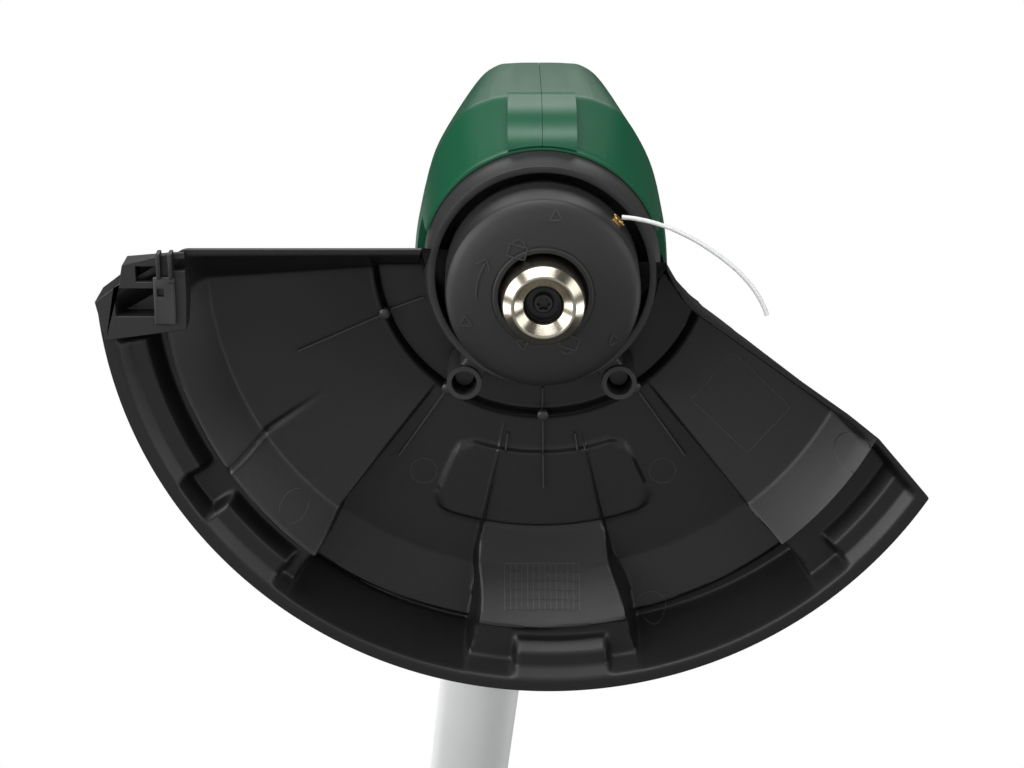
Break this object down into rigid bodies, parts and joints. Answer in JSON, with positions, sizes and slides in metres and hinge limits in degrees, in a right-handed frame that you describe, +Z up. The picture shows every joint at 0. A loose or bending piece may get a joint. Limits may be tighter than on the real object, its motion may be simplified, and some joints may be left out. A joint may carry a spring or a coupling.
{
  "type": "string trimmer",
  "caption": "Cordless string trimmer: tilting motor head with bump-feed spool, dished debris guard, telescopic shaft, loop front handle and rear grip over a slide-on battery.",
  "frame": {"origin": "middle of the rear hand grip, on the centre plane of the shaft", "axes": "+Z up with the spool axis vertical, +Y from the cutting head towards the user, +X to the right seen from below the head with the user at the bottom"},
  "size_m": [0.2992, 1.2021, 0.4949],
  "materials": {
    "green_shell": "fine moulded texture, satin",
    "black_plastic": "glass-filled nylon, satin",
    "soft_rubber": "soft touch",
    "polished_steel": "polished",
    "zinc_fastener": "zinc plated",
    "brass_bush": "turned",
    "copper_winding": "enamelled wire",
    "aluminium_tube": "satin anodised",
    "nylon_line": "clear drawn nylon",
    "cell_wrap": "shrink sleeve"
  },
  "bodies": {
    "root": {"upper_tube": "aluminium_tube", "aux_handle_saddle": "black_plastic", "aux_handle_bolt": "zinc_fastener", "rear_handle_left": "green_shell", "rear_handle_right": "green_shell", "handle_screw_1": "zinc_fastener", "handle_screw_2": "zinc_fastener", "handle_screw_3": "zinc_fastener", "contact_block": "black_plastic", "power_switch": "black_plastic", "spiral_lead": "soft_rubber"},
    "front_handle": {"aux_handle_loop": "soft_rubber"},
    "front_knob": {"aux_handle_knob": "soft_rubber"},
    "lower_shaft": {"lower_tube": "aluminium_tube", "tilt_neck": "black_plastic", "neck_screw": "zinc_fastener", "clamp_body": "black_plastic", "neck_lead": "soft_rubber"},
    "shaft_clamp": {"clamp_nut": "black_plastic"},
    "head": {"head_housing_left": "green_shell", "head_housing_right": "green_shell", "housing_screw_1": "zinc_fastener", "housing_screw_2": "zinc_fastener", "tilt_pin_left": "zinc_fastener", "tilt_pin_right": "zinc_fastener", "motor_can": "zinc_fastener", "motor_plate": "zinc_fastener", "lower_bearing": "polished_steel", "upper_bearing": "polished_steel", "spool_shroud": "black_plastic", "debris_guard": "black_plastic", "cutter_blade": "polished_steel", "cutter_screw": "zinc_fastener", "guard_screw_left": "zinc_fastener", "guard_screw_right": "zinc_fastener"},
    "tilt_lock": {"tilt_button": "soft_rubber"},
    "spool": {"spool_cap": "black_plastic", "line_eyelet": "brass_bush", "drive_hub": "black_plastic", "cooling_fan": "black_plastic", "motor_shaft": "zinc_fastener", "rotor_core": "copper_winding", "cutting_line": "nylon_line", "bump_spring": "zinc_fastener"},
    "bump_head": {"line_reel": "black_plastic", "wound_line": "nylon_line", "bump_knob": "polished_steel", "knob_screw": "zinc_fastener"},
    "trigger": {"trigger": "soft_rubber"},
    "lock_off": {"lock_button": "black_plastic"},
    "battery": {"battery_cover": "black_plastic", "battery_base": "black_plastic", "battery_cell_1": "cell_wrap", "battery_cell_2": "cell_wrap", "battery_cell_3": "cell_wrap", "battery_cell_4": "cell_wrap", "battery_cell_5": "cell_wrap"},
    "battery_latch": {"battery_button": "soft_rubber"}
  },
  "joints": [
    {"name": "telescope", "type": "slide", "parent": "root", "child": "lower_shaft", "axis": [-0.0994, 0.9458, 0.309], "range_m": [0, 0.14]},
    {"name": "clamp_twist", "type": "hinge", "parent": "lower_shaft", "child": "shaft_clamp", "pos_m": [0.04731, -0.45013, -0.1765], "axis": [-0.0994, 0.9458, 0.309], "range_deg": [0, 60]},
    {"name": "front_handle_tilt", "type": "hinge", "parent": "root", "child": "front_handle", "pos_m": [0.02992, -0.28468, -0.08985], "axis": [0.9945, 0.1045, 0], "range_deg": [-30, 40]},
    {"name": "front_knob_turn", "type": "hinge", "parent": "root", "child": "front_knob", "pos_m": [0.04981, -0.28258, -0.08985], "axis": [0.9945, 0.1045, 0], "range_deg": [0, 360]},
    {"name": "head_tilt", "type": "hinge", "parent": "lower_shaft", "child": "head", "pos_m": [0.09254, -0.88049, -0.31711], "axis": [0.9945, 0.1045, 0], "range_deg": [-20, 35]},
    {"name": "tilt_button_push", "type": "slide", "parent": "head", "child": "tilt_lock", "axis": [0.9945, 0.1045, 0], "range_m": [0, 0.0035], "stiffness_N_per_m": 900, "springref_m": -0.001},
    {"name": "spool_spin", "type": "hinge", "parent": "head", "child": "spool", "pos_m": [0.1007, -0.95806, -0.44645], "axis": [0, 0, 1], "continuous": true},
    {"name": "bump_feed", "type": "slide", "parent": "spool", "child": "bump_head", "axis": [0, 0, 1], "range_m": [0, 0.004], "stiffness_N_per_m": 1500, "springref_m": -0.003, "deforming": ["bump_spring"]},
    {"name": "trigger_pull", "type": "hinge", "parent": "root", "child": "trigger", "pos_m": [0.00392, -0.03727, -0.02059], "axis": [0.9945, 0.1045, 0], "range_deg": [0, 10], "stiffness_Nm_per_rad": 0.6, "springref_deg": -5.73},
    {"name": "lock_off_push", "type": "slide", "parent": "root", "child": "lock_off", "axis": [-0.0323, 0.3073, -0.9511], "range_m": [0, 0.003], "stiffness_N_per_m": 700, "springref_m": -0.001},
    {"name": "battery_slide", "type": "slide", "parent": "root", "child": "battery", "axis": [-0.0994, 0.9458, 0.309], "range_m": [0, 0.1]},
    {"name": "battery_button_push", "type": "slide", "parent": "battery", "child": "battery_latch", "axis": [-0.0994, 0.9458, 0.309], "range_m": [0, 0.003], "stiffness_N_per_m": 700, "springref_m": -0.001}
  ]
}
